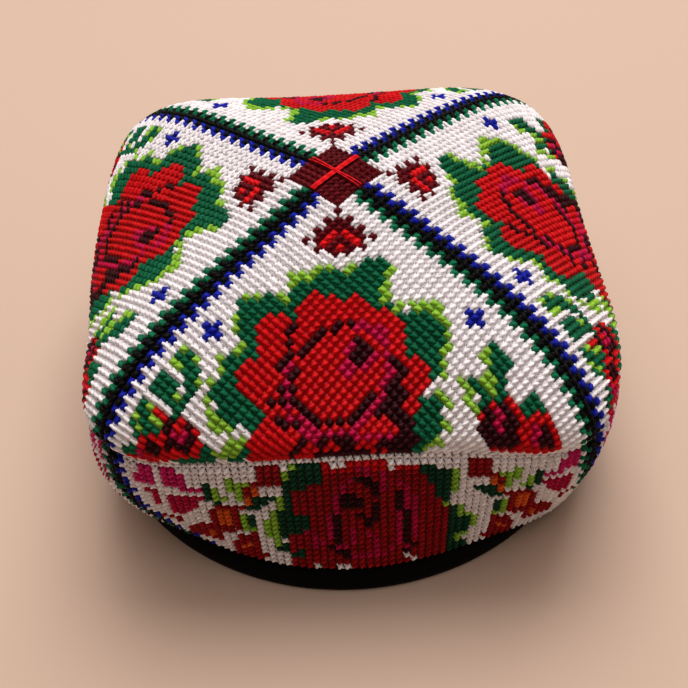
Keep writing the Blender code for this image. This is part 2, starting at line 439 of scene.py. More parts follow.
# The pattern of the band, in stitches from the middle of its rose and down from the seam
BAND_SHAPES = [
    # thread, corners of the outline
    ("red", [
        (-6.5, 1.5), (-3.5, 1.5), (-3.5, 0.5), (1.5, 0.5), (1.5, 2.5), (2.5, 2.5), (2.5, 1.5),
        (5.5, 1.5), (6.5, 4), (7.5, 7), (8.5, 9.5), (9.5, 11), (9.5, 22), (-11.5, 22), (-11.5, 14.5),
        (-8.5, 14), (-8.5, 11.5), (-10.5, 11), (-10.5, 5), (-6.5, 4.5),
    ]),
    ("pine", [(-9.5, 0.5), (-6.5, 0.5), (-6.5, 4.5), (-10.5, 5.5), (-10.5, 1.5), (-9.5, 1.5)]),
    ("pine", [
        (-11.5, 3.5), (-10.4, 3.5), (-10.4, 10.5), (-8.5, 10.5), (-8.5, 13.5), (-10.6, 14.5),
        (-12.5, 14.5), (-12.5, 10), (-11.5, 10),
    ]),
    ("pine", [
        (5.5, 1.5), (7.5, 1.5), (7.5, 2.5), (9.5, 2.5), (9.5, 9.5), (8.5, 9.5), (6.5, 3.5), (5.5, 3.5),
    ]),
    ("pine", [
        (9.5, 10.5), (10.5, 10.5), (10.5, 13.5), (12.5, 13.5), (12.5, 17.5), (10.5, 17.5), (10.5, 20),
        (12.5, 20), (12.5, 22), (9.5, 22),
    ]),
]
BAND_LINES = [
    # thread, runs of stitches, each through its places
    ("lime", [
        [(-10, 1), (-11, 2), (-11, 3)], [(-12, 7), (-12, 9), (-13, 10), (-13, 17)],
        [(-14, 12), (-14, 15)],
    ]),
    ("pine", [
        [(-12, 15)], [(-13, 18), (-12, 17), (-12, 18)], [(-11, 19), (-10, 19), (-10, 18)],
    ]),
    ("lime", [
        [(10, 3), (10, 7)], [(9, 10)], [(11, 11), (11, 13), (12, 13)], [(13, 14), (13, 16)],
        [(11, 18), (12, 18), (11, 19)],
    ]),
    ("red", [[(-6, 1)]]),
    ("crimson", [
        [(-2, 2), (-1, 2), (-1, 3)],
        [(-3, 4), (-4, 6), (-5, 7), (-5, 10), (-6, 11), (-6, 15), (-8, 17)],
        [(-9, 14), (-8, 16), (-5, 17)], [(3, 5), (4, 6), (5, 8), (5, 16), (4, 18)],
        [(4, 8), (4, 10)], [(1, 3), (1, 6)], [(3, 11), (3, 17), (1, 19), (-3, 19)],
        [(-1, 15), (0, 17), (0, 18)], [(-3, 14), (-3, 16), (-4, 17)],
    ]),
    ("maroon", [
        [(-2, 4), (-1, 4), (-1, 5)], [(0, 5), (0, 7)], [(-4, 7), (-4, 9), (-3, 7), (-3, 9)],
        [(-2, 8), (-2, 9)], [(0, 9), (0, 12)], [(-2, 11), (-1, 12), (-1, 13)], [(3, 7), (3, 10)],
        [(4, 11), (4, 16), (5, 18), (4, 20)], [(-5, 11), (-5, 16), (-6, 17), (-4, 18), (-4, 19)],
    ]),
    ("white", [[(-8, 21)], [(-5, 21), (-4, 21)], [(4, 20), (5, 21)]]),
]
BAND_MIRRORED_SHAPES = [
    # thread, corners of the outline at one side of the middle
    ("ruby", [(11.5, 0.5), (14.5, 0.5), (14.5, 4.5), (11.5, 4.5)]),
    ("pine", [
        (12.5, 6.5), (15.5, 6.5), (15.5, 8.5), (16.5, 8.5), (16.5, 9.5), (14.5, 9.5), (13.5, 7.5),
    ]),
    ("ruby", [
        (17.5, 9.5), (18.5, 8.5), (20, 8.5), (21.5, 9.5), (21.5, 14.5), (19, 15.4), (17.5, 14.5),
    ]),
    ("orange", [(18.5, 9.5), (20.5, 9.5), (20.5, 13.5), (18.5, 13.5)]),
    ("ruby", [(15.5, 14.6), (18, 15.5), (19.5, 18), (20, 22), (17, 22), (15, 20)]),
    ("ruby", [(20.5, 14.6), (22.5, 12.6), (23.5, 13.5), (25.5, 16), (25.5, 18.5), (20.5, 18.5)]),
    ("pink", [
        (24.1, 0.5), (26.4, 0.5), (26.4, 4.4), (24.7, 4.6), (24, 5.6), (21.6, 5.7), (21.6, 4.8),
        (23.1, 4.3), (23.7, 2.8),
    ]),
    ("pink", [(27.4, 0.5), (29, 0.8), (29.7, 2.4), (30.9, 3.4), (31.1, 4.6), (27.4, 4.6)]),
    ("crimson", [
        (21.6, 6.5), (26.4, 6.5), (26.3, 9.3), (25.9, 11.9), (24.5, 11.3), (23.3, 9.8), (22.3, 7.9),
    ]),
    ("crimson", [(27.4, 5.4), (29.5, 5.5), (28.5, 7.3), (28.4, 9.3), (27.4, 10.8)]),
    ("ruby", [(27, 12.3), (29, 12.3), (28.6, 13.9), (27, 14)]),
]
BAND_MIRRORED_LINES = [
    # thread, runs of stitches at one side of the middle, each through its places
    ("ruby", [[(15, 4), (15, 5)]]),
    ("orange", [[(15, 5), (15, 6)]]),
    ("ruby", [[(16, 5), (16, 6)]]),
    ("orange", [[(16, 7), (16, 8)]]),
    ("ruby", [[(17, 9)]]),
    ("lime", [[(18, 3), (18, 5)], [(17, 4), (17, 7)], [(16, 4)], [(20, 5), (20, 7), (19, 7)]]),
    ("pine", [[(21, 4), (21, 7), (20, 8)]]),
    ("lime", [[(17, 11), (17, 14), (16, 14)]]),
    ("pine", [[(16, 11), (16, 13)]]),
    ("orange", [[(17, 18), (18, 19)], [(22, 16), (22, 17)]]),
    ("ruby", [[(26, 13), (26, 14)]]),
]
# Where the rose's middle lies, in stitches from the panel's own middle
BAND_MIDDLE = {"front": 2.5, "right": 0.5, "back": 0.5, "left": 0.5}
BAND_CHART_HALF = 40
SHADED_FROM_ROW = 3  # from here down the band's rose is painted a darker red: painted shade, lower on the band
# Stitches from a corner to the ends of its black, its checked and its white-checked columns
STRIPE_ENDS = (0.5, 1.5, 2.5)


def inside(outline, across, down):
    """Whether each place lies inside the outline."""
    found = np.zeros(np.shape(across), bool)
    for (ax, ay), (bx, by) in zip(outline, outline[1:] + outline[:1]):
        if ay != by:
            crosses = (ay > down) != (by > down)
            found ^= crosses & (across < (bx - ax) * (down - ay) / (by - ay) + ax)
    return found


def run_through(places):
    """Every stitch on the straight runs from place to place, or the one place given."""
    for (ax, ay), (bx, by) in zip(places, places[1:] or places):
        steps = max(abs(bx - ax), abs(by - ay), 1)
        for step in range(steps + 1):
            yield round(ax + (bx - ax) * step / steps), round(ay + (by - ay) * step / steps)


def every_place(runs):
    """The stitches of all the runs."""
    return [place for places in runs for place in run_through(places)]


def crown_chart():
    """The thread of each stitch of a crown panel, by counts across and down."""
    across, down = np.meshgrid(np.arange(CROWN_COUNT), np.arange(CROWN_COUNT), indexing="ij")
    chart = np.full(across.shape, "white", dtype=object)
    for thread, outline in CROWN_SHAPES:
        chart[inside(outline, across, down)] = thread
    for thread, runs in CROWN_LINES:
        for place in every_place(runs):
            chart[place] = thread
    for row, text in enumerate(FLOWER):
        for column, letter in enumerate(text):
            if letter in FLOWER_THREADS:
                chart[FLOWER_CORNER + column, FLOWER_CORNER + row] = FLOWER_THREADS[letter]
    for middle, row in SMALL_CROSSES:
        for step, fall in ((0, 0), (1, 0), (-1, 0), (0, 1), (0, -1)):
            chart[middle + step, row + fall] = "blue"
    along = np.arange(CROWN_COUNT)
    odd = along % 2 == 1
    for side, edge in ((chart, "blue"), (chart.T, "emerald")):
        side[:, 0] = "black"
        side[:, 1] = np.where(odd, edge, "black")
        side[:, 2] = np.where(odd, "white", edge)
    chart[:MIDDLE_SQUARE + 1, :MIDDLE_SQUARE + 1] = "wine"
    return chart


def band_chart():
    """The thread of each stitch of the band, by count from the rose's middle and row."""
    half = BAND_CHART_HALF
    across, down = np.meshgrid(np.arange(-half, half + 1), np.arange(BAND_ROWS), indexing="ij")
    chart = np.full(across.shape, "white", dtype=object)
    for thread, outline in BAND_MIRRORED_SHAPES:
        chart[inside(outline, abs(across), down)] = thread
    for thread, outline in BAND_SHAPES:
        chart[inside(outline, across, down)] = thread
    for thread, runs in BAND_MIRRORED_LINES:
        for count, row in every_place(runs):
            chart[half + count, row] = thread
            chart[half - count, row] = thread
    for thread, runs in BAND_LINES:
        for count, row in every_place(runs):
            chart[half + count, row] = thread
    chart[:, 0] = "white"
    # painted shade: the rose's red is darker from this row down
    chart[(chart == "red") & (down >= SHADED_FROM_ROW)] = "garnet"
    return chart


# Stitches as threads. Half a leg's reach is in stitches and its half width in millimetres; taper
# and dive are how much thinner and deeper it gets at its ends.
LEGS = {
    # way the top leg runs: (reach along the row, along the column, half width, taper, dive,
    # half width of the low leg)
    "row": (0.58, -0.14, 0.76, 0.45, 0.60, 1.7),
    "fine row": (0.66, -0.12, 0.66, 0.35, 0.40, 1.7),
    "cord": (0.04, -0.62, 0.62, 0.12, 0.16, 1.7),
    "column": (0.08, -0.62, 0.76, 0.35, 0.50, 1.7),
    "leaf": (0.20, -0.56, 0.76, 0.45, 0.60, 1.7),
    "cross": (0.54, -0.26, 0.78, 0.50, 0.60, 1.7),
    "band": (0.34, -0.40, 0.62, 0.55, 0.90, 0.85),
}
TOP_LEG_CREST = 0.15  # millimetres above the cloth's face
TOP_LEG_DEPTH = 1.05  # millimetres from the crest down
TOP_LEG_SECTIONS = (6, 5)  # along the leg, and points of each
LOW_LEG_CREST = -0.4
LOW_LEG_DEPTH = 0.7
LOW_LEG_SECTIONS = (4, 3)
LOW_LEG_REACH = 0.52
LOW_LEG_ENDS = (0.2, 0.75)  # taper, dive
# How uneven the handwork is: normal spreads of a stitch's place, width, turn and height
PLACE_SPREAD = 0.03
WIDTH_SPREAD = 0.05
TURN_SPREAD = 0.04
HEIGHT_SPREAD = 0.06
# Tones of a thread's colour, from 0 to 1, random dye tones with painted shade for the low legs: the low
# legs keep below the first, the top ones above the other
LOW_SHADE_END = 0.25
TOP_SHADE_START = 0.4

CORD_SLOPE = 0.9  # white is couched in long lines on the side of the blue-edged stripe from here
SEAM_OVERLAP = 0.45  # stitches; the last ones reach this far past the crown's seam,
SEAM_MARGIN = 0.35  # and are drawn in to this far before it
SEAM_ROW = 0.2  # stitches from the seam to the band's first row
ROW_STEP = 1.02  # stitches from one row of the band to the next
CORNER_LEAN = 6.5  # stitches that a corner's stripe leans over, from the seam to the rim,
CORNER_LEAN_GROWTH = 2.5  # more and more by this power
CORNER_ROOM = 0.7  # stitches between the column on a corner and the next


def tube_faces(sections, ring):
    """The quads and the two end caps of a tube whose points are counted ring by ring."""
    quads = []
    for low in range(0, (sections - 1) * ring, ring):
        for step in range(ring):
            after = (step + 1) % ring
            quads.append([low + step, low + after, low + ring + after, low + ring + step])
    caps = [list(range(ring))[::-1], list(range((sections - 1) * ring, sections * ring))]
    return np.array(quads), np.array(caps)


def leg_mesh(centre, run, side, up, crest, depth, sections, arc, taper, dive):
    """Closed thread legs as (points, faces): every leg arches up and dives into its two holes."""
    count = len(centre)
    at = np.linspace(-1, 1, sections)
    taper, dive = np.broadcast_to(taper, count), np.broadcast_to(dive, count)
    thin = (1 - taper[:, None] * np.abs(at) ** 3)[:, :, None]
    sunk = (dive[:, None] * depth * at**4)[:, :, None]
    turn = np.linspace(0, math.pi, arc)
    rise = crest - depth - sunk + np.sin(turn) * depth * thin**0.5
    points = (
        centre[:, None, None]
        + run[:, None, None] * at[None, :, None, None]
        + side[:, None, None] * (np.cos(turn) * thin)[..., None]
        + up[:, None, None] * rise[..., None]
    ).reshape(-1, 3)
    quads, caps = tube_faces(sections, arc)
    starts = (np.arange(count) * sections * arc)[:, None, None]
    quads = (quads + starts).reshape(-1, 4)
    caps = (caps + starts).reshape(-1, arc)
    along = np.repeat(at, arc)
    across = np.tile(turn / math.pi, sections)
    return points, quads, caps, np.stack([along, across], 1)


def build_mesh(name, parts, materials):
    """One mesh from parts (points, quads, caps, uv of a leg's points, material of each leg, shade)."""
    points, loops, sizes, slots, uvs, shades = [], [], [], [], [], []
    start = 0
    for part_points, quads, caps, leg_uv, material, shade in parts:
        points.append(part_points)
        count = len(material)
        point_uv = np.tile(leg_uv, (count, 1))
        point_shade = np.repeat(shade, len(leg_uv))
        for faces in (quads, caps):
            loops.append((faces + start).ravel())
            sizes.append(np.full(len(faces), faces.shape[1]))
            slots.append(np.repeat(material, len(faces) // count))
            uvs.append(point_uv[faces.ravel()])
            shades.append(point_shade[faces.ravel()])
        start += len(part_points)
    points, loops = np.concatenate(points) * MM, np.concatenate(loops)
    sizes, slots = np.concatenate(sizes), np.concatenate(slots)
    mesh = bpy.data.meshes.new(name)
    mesh.vertices.add(len(points))
    mesh.vertices.foreach_set("co", points.astype(np.float32).ravel())
    mesh.loops.add(len(loops))
    mesh.loops.foreach_set("vertex_index", loops.astype(np.int32))
    mesh.polygons.add(len(sizes))
    mesh.polygons.foreach_set("loop_start", (np.cumsum(sizes) - sizes).astype(np.int32))
    mesh.polygons.foreach_set("loop_total", sizes.astype(np.int32))
    mesh.polygons.foreach_set("material_index", slots.astype(np.int32))
    mesh.uv_layers.new(name="UVMap")
    mesh.uv_layers["UVMap"].data.foreach_set("uv", np.concatenate(uvs).astype(np.float32).ravel())
    mesh.attributes.new("shade", "FLOAT", "CORNER")
    mesh.attributes["shade"].data.foreach_set("value", np.concatenate(shades).astype(np.float32))
    for material in materials:
        mesh.materials.append(material)
    mesh.update(calc_edges=True)
    mesh.validate()
    mesh.shade_smooth()
    piece = bpy.data.objects.new(name, mesh)
    bpy.context.collection.objects.link(piece)
    return piece


def unit(vectors):
    """The vectors' directions, one unit long."""
    return vectors / np.maximum(np.linalg.norm(vectors, axis=-1, keepdims=True), 1e-9)


def cloth_frame(place, across, down, reach=0.4):
    """The cloth at the counts: point, one stitch across, one stitch down, and outward."""
    centre = place(across, down)
    right = (place(across + reach, down) - place(across - reach, down)) / (2 * reach)
    below = (place(across, down + reach) - place(across, down - reach)) / (2 * reach)
    up = unit(np.cross(right, below))
    up *= np.sign(np.sum(up * (centre - HOLLOW), 1))[:, None]
    return centre, right, below, up


def cross_stitches(name, place, across, down, threads, ways, random, materials):
    """The panel's stitches, each a low leg and a top leg, in one mesh."""
    count = len(across)
    centre, right, below, up = cloth_frame(place, across, down)
    centre = centre + right * random.normal(0, PLACE_SPREAD, (count, 1))
    centre = centre + below * random.normal(0, PLACE_SPREAD, (count, 1))
    material = np.array([THREAD_ORDER.index(thread) for thread in threads])
    shade = random.uniform(0, 1, count)
    swell = random.normal(1, WIDTH_SPREAD, (count, 1))
    legs = np.array([LEGS[way] for way in ways])
    turn = random.normal(0, TURN_SPREAD, count)
    run = right * (legs[:, 0] + turn)[:, None] + below * (legs[:, 1] + turn)[:, None]
    side = unit(np.cross(run, up)) * legs[:, 2:3] * swell
    rise = up * random.normal(0, HEIGHT_SPREAD, (count, 1))
    top = leg_mesh(
        centre + rise, run, side, up, TOP_LEG_CREST, TOP_LEG_DEPTH,
        *TOP_LEG_SECTIONS, legs[:, 3], legs[:, 4],
    )
    low_run = (right + below) * LOW_LEG_REACH
    low_side = unit(np.cross(low_run, up)) * legs[:, 5:6] * swell
    low = leg_mesh(
        centre, low_run, low_side, up, LOW_LEG_CREST, LOW_LEG_DEPTH, *LOW_LEG_SECTIONS, *LOW_LEG_ENDS
    )
    top_shade = TOP_SHADE_START + (1 - TOP_SHADE_START) * shade
    # the low legs take the ramp's dark end: painted shade
    parts = [(*top, material, top_shade), (*low, material, LOW_SHADE_END * shade)]
    return build_mesh(name, parts, materials)


def crown_way(thread, across, down):
    """The way a crown stitch's top leg leans, as the rows were worked."""
    if thread == "white":
        return "cord" if down < across * CORD_SLOPE else "fine row"
    if thread in ("green", "lime"):
        return "leaf"
    if thread == "red":
        # upright in the rose's petals towards the blue-edged stripe, and in the bud beside them
        upright = (across >= 21 and down <= 14) or across >= 32
        return "column" if upright else "row"
    return "cross"


def crown_stitches(panel, place, room, chart, random, materials):
    """The stitches of a crown panel; those that the seam cuts are drawn in to its edge."""
    across, down = np.meshgrid(np.arange(1, CROWN_COUNT), np.arange(CROWN_COUNT), indexing="ij")
    across, down = across.ravel(), down.ravel()
    fits = room(across, down) > -SEAM_OVERLAP
    across, down = across[fits], down[fits]
    threads = chart[across, down]
    ways = [crown_way(*stitch) for stitch in zip(threads, across, down)]
    if panel == "front":
        # the stitch in the very middle of the crown, where all four panels start
        across, down = np.append(across, 0), np.append(down, 0)
        threads, ways = np.append(threads, "wine"), ways + ["cross"]
    away = np.maximum(np.hypot(across, down), 1)
    drawn_in = 1 - np.clip(SEAM_MARGIN - room(across, down), 0, None) / away
    across, down = across * drawn_in, down * drawn_in
    name = "stitches_crown_" + panel
    return cross_stitches(name, place, across, down, threads, ways, random, materials)


def band_thread(chart, middle, across, row, left, right):
    """The thread at a place of the band: the panel's motifs between its two leaning stripes."""
    lean = CORNER_LEAN * (row / BAND_ROWS) ** CORNER_LEAN_GROWTH
    even = row % 2 == 0
    from_left = left - lean
    from_right = right + lean
    black_end, checks_end, white_end = STRIPE_ENDS
    if abs(from_left) <= black_end:
        return "black"
    past_corner = from_left > 0
    edge, beside = ("blue", from_left) if past_corner else ("emerald", -from_left)
    if past_corner and beside > white_end:
        edge, beside = "emerald", from_right
    if beside <= checks_end:
        return edge if even else "black"
    if beside <= white_end:
        return "white" if even else edge
    # where the stripe leans into this panel, the one before it goes on
    count = across - middle if past_corner else left + right - lean - middle + from_left
    half = BAND_CHART_HALF
    return chart[int(np.clip(round(count), -half, half)) + half, row]


def band_stitches(panel, place, room, chart, random, materials):
    """The band's stitches: counted columns, and one column on the corner at the panel's left."""
    middle, half = BAND_MIDDLE[panel], BAND_CHART_HALF
    found = []
    for row in range(BAND_ROWS):
        down = SEAM_ROW + row * ROW_STEP
        left, right = room(0.0, down)
        columns = [-left] + [count + middle for count in range(-half, half + 1)]
        for across in columns:
            if across == -left or min(left + across, right - across) > CORNER_ROOM:
                thread = band_thread(chart, middle, across, row, left + across, right - across)
                found.append((across, down, thread))
    across, down, threads = zip(*found)
    across, down = np.array(across, float), np.array(down, float)
    ways = ["band"] * len(found)
    name = "stitches_band_" + panel
    return cross_stitches(name, place, across, down, threads, ways, random, materials)


def edit_all(change, **settings):
    """Runs one mesh operator on the whole of the active piece."""
    bpy.ops.object.mode_set(mode="EDIT")
    bpy.ops.mesh.select_all(action="SELECT")
    change(**settings)
    bpy.ops.object.mode_set(mode="OBJECT")


def canvas(name, place, corners, steps, cottons):
    """The counted canvas and its lining: a sheet laid under the stitches, with its wall."""
    rows, columns = steps
    bpy.ops.object.select_all(action="DESELECT")
    bpy.ops.mesh.primitive_grid_add(x_subdivisions=columns, y_subdivisions=rows, size=2)
    piece = bpy.context.object
    piece.name = piece.data.name = name
    flat = np.array([vertex.co for vertex in piece.data.vertices])
    across, down = corners((flat[:, 0] + 1) / 2, (flat[:, 1] + 1) / 2)
    centre, _, _, up = cloth_frame(place, across, down)
    points = (centre - up * CANVAS_DEPTH) * MM
    piece.data.vertices.foreach_set("co", points.astype(np.float32).ravel())
    layer = piece.data.uv_layers.active or piece.data.uv_layers.new(name="UVMap")
    corner = np.array([loop.vertex_index for loop in piece.data.loops])
    layer.data.foreach_set("uv", np.stack([across, down], 1)[corner].astype(np.float32).ravel())
    # the places of the crown's tip become one
    edit_all(bpy.ops.mesh.remove_doubles, threshold=0.00002)
    bpy.context.view_layer.update()
    face = piece.data.polygons[len(piece.data.polygons) // 2]
    if np.array(face.normal) @ (np.array(face.center) - HOLLOW * MM) < 0:
        edit_all(bpy.ops.mesh.flip_normals)
    piece.data.materials.clear()
    for cotton in cottons:
        piece.data.materials.append(cotton)
    wall = piece.modifiers.new("wall", "SOLIDIFY")
    wall.thickness = (WALL - CANVAS_DEPTH) * MM
    wall.offset = -1
    wall.material_offset = 1  # the lining, inside
    wall.use_even_offset = True
    bpy.ops.object.modifier_apply(modifier=wall.name)
    bpy.ops.object.shade_smooth()
    return piece


def linear(code):
    """An sRGB hex colour as linear values."""
    parts = [int(code[place:place + 2], 16) / 255 for place in (1, 3, 5)]
    return [part / 12.92 if part <= 0.04045 else ((part + 0.055) / 1.055) ** 2.4 for part in parts]


def add_node(material, kind, settings=None, values=None, links=None):
    """A node of the kind, with settings on itself, values on its inputs and links to them."""
    tree = material.node_tree
    made = tree.nodes.new(kind)
    for key, value in (settings or {}).items():
        setattr(made, key, value)
    for key, value in (values or {}).items():
        made.inputs[key].default_value = value
    for key, output in (links or {}).items():
        tree.links.new(output, made.inputs[key])
    return made


def new_material(name, **values):
    """A material and its shader, with the values on the shader's inputs."""
    material = bpy.data.materials.new(name)
    material.use_nodes = True
    shader = material.node_tree.nodes["Principled BSDF"]
    for key, value in values.items():
        shader.inputs[key.replace("_", " ")].default_value = value
    return material, shader


def tone_ramp(material, shader, factor, dark, light):
    """The shader's colour, from dark to light as the factor grows."""
    ramp = add_node(material, "ShaderNodeValToRGB", links={"Fac": factor})
    ramp.color_ramp.elements[0].color = (*dark, 1)
    ramp.color_ramp.elements[1].color = (*light, 1)
    material.node_tree.links.new(ramp.outputs["Color"], shader.inputs["Base Color"])
    return ramp.color_ramp


def relief(material, shader, height, strength, metres):
    """The height as relief of the shader's surface."""
    bump = add_node(
        material, "ShaderNodeBump", None, {"Strength": strength, "Distance": metres}, {"Height": height}
    )
    material.node_tree.links.new(bump.outputs["Normal"], shader.inputs["Normal"])


def bands(material, direction, scale, distortion, detail):
    """Soft bands across the stitch counts that a piece's UV map holds."""
    counts = add_node(material, "ShaderNodeUVMap", {"uv_map": "UVMap"})
    wave = add_node(
        material, "ShaderNodeTexWave", {"wave_type": "BANDS", "bands_direction": direction},
        {"Scale": scale, "Distortion": distortion, "Detail": detail}, {"Vector": counts.outputs["UV"]},
    )
    return wave.outputs["Fac"]


def cotton_thread(name, code, low_leg_painted_shade):
    """Mercerised cotton floss: strands twisted round each other, with a soft sheen and uneven dye; the
    low legs' darker colour is painted shade.

    The real twist is finer than a picture shows, so it is drawn with a few turns to each leg.
    """
    material, shader = new_material(
        "cotton_thread_" + name,
        Roughness=0.5, Specular_IOR_Level=0.08, Sheen_Weight=0.02, Sheen_Roughness=0.4,
    )
    colour = linear(code)
    shade = add_node(material, "ShaderNodeAttribute", {"attribute_name": "shade"})
    # painted shade: the low legs take the thread's colour darkened
    low_legs_in_painted_shade = [part * low_leg_painted_shade for part in colour]
    dullest = [part * 0.86 for part in colour]
    brightest = [min(part * 1.16 + 0.003, 1) for part in colour]
    ramp = tone_ramp(material, shader, shade.outputs["Fac"], low_legs_in_painted_shade, brightest)
    ramp.elements.new(TOP_SHADE_START).color = (*dullest, 1)
    relief(material, shader, bands(material, "DIAGONAL", 0.55, 1.2, 1.0), 0.6, 0.0002)
    return material


def cotton_canvas(name, code):
    """Plain-woven cotton, matt: the canvas in the gaps of the stitches, dark there as painted shade, and
    the pale lining. Both have the holes of their weave painted darker, as shade.
    """
    material, shader = new_material(name, Roughness=0.9)
    warp, weft = [bands(material, direction, 0.62, 0.4, 2.0) for direction in ("X", "Y")]
    weave = add_node(material, "ShaderNodeMath", {"operation": "MULTIPLY"}, None, {0: warp, 1: weft})
    # painted shade: the holes of the weave are darker
    holes = [part * 0.7 for part in linear(code)]
    tone_ramp(material, shader, weave.outputs["Value"], holes, linear(code))
    relief(material, shader, weave.outputs["Value"], 0.6, 0.0003)
    return material


def black_velvet():
    """Cotton velvet, cut pile: almost black face on, with a soft grey bloom at grazing angles."""
    material, shader = new_material(
        "black_cotton_velvet",
        Roughness=1.0, Specular_IOR_Level=0.06, Sheen_Weight=0.02, Sheen_Roughness=0.35,
    )
    place = add_node(material, "ShaderNodeTexCoord")
    nap = add_node(
        material, "ShaderNodeTexNoise", None, {"Scale": 900.0, "Detail": 3.0, "Roughness": 0.6},
        {"Vector": place.outputs["Object"]},
    )
    brushed = add_node(
        material, "ShaderNodeTexNoise", None, {"Scale": 60.0, "Detail": 2.0},
        {"Vector": place.outputs["Object"]},
    )
    tone_ramp(material, shader, brushed.outputs["Fac"], linear("#020202"), linear("#060606"))
    relief(material, shader, nap.outputs["Fac"], 0.5, 0.0003)
    return material


def rim(material):
    """The velvet binding: its section spun round the axis, plump outside and flat below."""
    inside_radius = RIM_RADIUS - RIM_WALL
    section = [
        (RIM_RADIUS - RIM_ROUND, 0), (RIM_RADIUS, RIM_ROUND), (RIM_RADIUS + 0.5, RIM_HEIGHT * 0.25),
        (RIM_RADIUS + 0.7, RIM_HEIGHT * 0.5), (RIM_RADIUS + 0.5, RIM_HEIGHT * 0.75),
        (RIM_RADIUS - 0.1, RIM_HEIGHT - 0.7), (RIM_RADIUS - 1.0, RIM_HEIGHT - 0.1),
        (inside_radius + 0.4, RIM_HEIGHT), (inside_radius, RIM_HEIGHT - 0.5), (inside_radius, RIM_ROUND),
        (inside_radius + RIM_ROUND, 0),
    ]
    bpy.ops.object.select_all(action="DESELECT")
    bpy.ops.mesh.primitive_circle_add(vertices=len(section), radius=1)
    piece = bpy.context.object
    piece.name = piece.data.name = "velvet_rim"
    for vertex, (radius, height) in zip(piece.data.vertices, section):
        vertex.co = (radius * MM, 0, height * MM)
    bpy.ops.object.mode_set(mode="EDIT")
    bpy.ops.mesh.select_all(action="SELECT")
    bpy.ops.mesh.spin(steps=RIM_STEPS, angle=2 * math.pi, center=(0, 0, 0), axis=(0, 0, 1))
    bpy.ops.mesh.select_all(action="SELECT")
    bpy.ops.mesh.remove_doubles(threshold=0.00001)
    bpy.ops.mesh.normals_make_consistent(inside=False)
    bpy.ops.object.mode_set(mode="OBJECT")
    bpy.ops.object.shade_smooth()
    piece.data.materials.append(material)
    return piece


def whole_crown(places):
    """A function from counts along +X and +Y, from the middle of the crown, to points of its face."""
    def place(east, north):
        points = []
        for x, y in zip(np.ravel(east), np.ravel(north)):
            direction = math.degrees(math.atan2(y, x)) % 360
            panel = min(SIDES, key=lambda name: abs(turn_from(SIDES[name][0], direction)))
            turn = math.radians(direction - SIDES[panel][0] + 45)
            away = math.hypot(x, y)
            points.append(places[panel](away * math.cos(turn), away * math.sin(turn)))
        return np.array(points)
    return place


CROSS_BARS = [
    # slope from above, strands, crest, half width in stitches at the middle and at the ends
    (1, 4, 0.15, 0.29, 0.31),
    (-1, 2, 0.45, 0.11, 0.28),
]
BAR_STEPS = 17
BAR_OVERHANG = 0.4  # stitches that a bar reaches past the middle square
BAR_HEIGHT_SPREAD = 0.04
STRAND_RADIUS = 0.27
STRAND_RING = 6  # points round a strand
STRAND_TWISTS = 4  # of the floss, either way from a strand's middle


def middle_cross(place, random, materials):
    """Two long satin bars along the stripes' axes over the middle square, one on the other."""
    red = THREAD_ORDER.index("scarlet")
    steps = np.linspace(-1, 1, BAR_STEPS)
    diagonal = math.sqrt(0.5)
    parts = []
    for slope, strands, crest, waist, ends in CROSS_BARS:
        for strand in np.linspace(-1, 1, strands):
            along = steps * (MIDDLE_SQUARE + BAR_OVERHANG)
            aside = strand * (waist + (ends - waist) * np.abs(steps))
            east = (along - aside * slope) * diagonal
            north = (along * slope + aside) * diagonal
            centre, _, _, up = cloth_frame(place, east, north)
            # a bar dives only close to its ends
            height = crest * (1 - 0.9 * np.abs(steps) ** 6) + random.normal(0, BAR_HEIGHT_SPREAD)
            line = centre + up * height[:, None]
            parts.append(strand_mesh(line, up, STRAND_RADIUS, red, random.uniform(0.2, 1)))
    return build_mesh("middle_cross", parts, materials)


def strand_mesh(line, up, radius, material, shade):
    """One long strand along the line, with rounded top and closed ends."""
    ring = STRAND_RING
    ahead = unit(np.gradient(line, axis=0))
    side = unit(np.cross(ahead, up))
    turn = np.arange(ring) * 2 * math.pi / ring
    points = (
        line[:, None] + side[:, None] * (np.cos(turn) * radius)[None, :, None]
        + up[:, None] * (np.sin(turn) * radius)[None, :, None]
    )
    quads, caps = tube_faces(len(line), ring)
    twists = np.linspace(-STRAND_TWISTS, STRAND_TWISTS, len(line))
    uv = np.stack([np.repeat(twists, ring), np.tile(turn / math.pi, len(line))], 1)
    return points.reshape(-1, 3), quads, caps, uv, np.array([material]), np.array([shade])


def outward_faces(piece):
    """Turns the faces of every closed thread outwards."""
    bpy.ops.object.select_all(action="DESELECT")
    bpy.context.view_layer.objects.active = piece
    piece.select_set(True)
    edit_all(bpy.ops.mesh.normals_make_consistent, inside=False)


NEAR_MIDDLE = 0.001  # stitches; just off the middle, a place still has a direction


def seam_distance(room, turn):
    """Stitches from the middle of the crown to the seam, in the direction of the turn."""
    return room(np.cos(turn) * NEAR_MIDDLE, np.sin(turn) * NEAR_MIDDLE)


def crown_corners(room):
    """Places of a crown canvas: along its turn from stripe to stripe, and from the tip to the seam."""
    def corners(turn_share, out_share):
        turn = turn_share * math.pi / 2
        far = seam_distance(room, turn)
        return np.cos(turn) * far * out_share, np.sin(turn) * far * out_share
    return corners


def crown_area(room):
    """The area that a crown panel is cut to, in square metres."""
    turn = np.linspace(0, math.pi / 2, 91)
    far = seam_distance(room, turn) * PITCH * MM
    return float(np.mean(far**2) * math.pi / 4)


def band_corners(room):
    """Places of a band canvas: from corner to corner, and from the seam to the rim."""
    def corners(side_share, down_share):
        down = down_share * BAND_ROWS
        left, right = room(np.zeros_like(down), down)
        return -left + (left + right) * side_share, down
    return corners


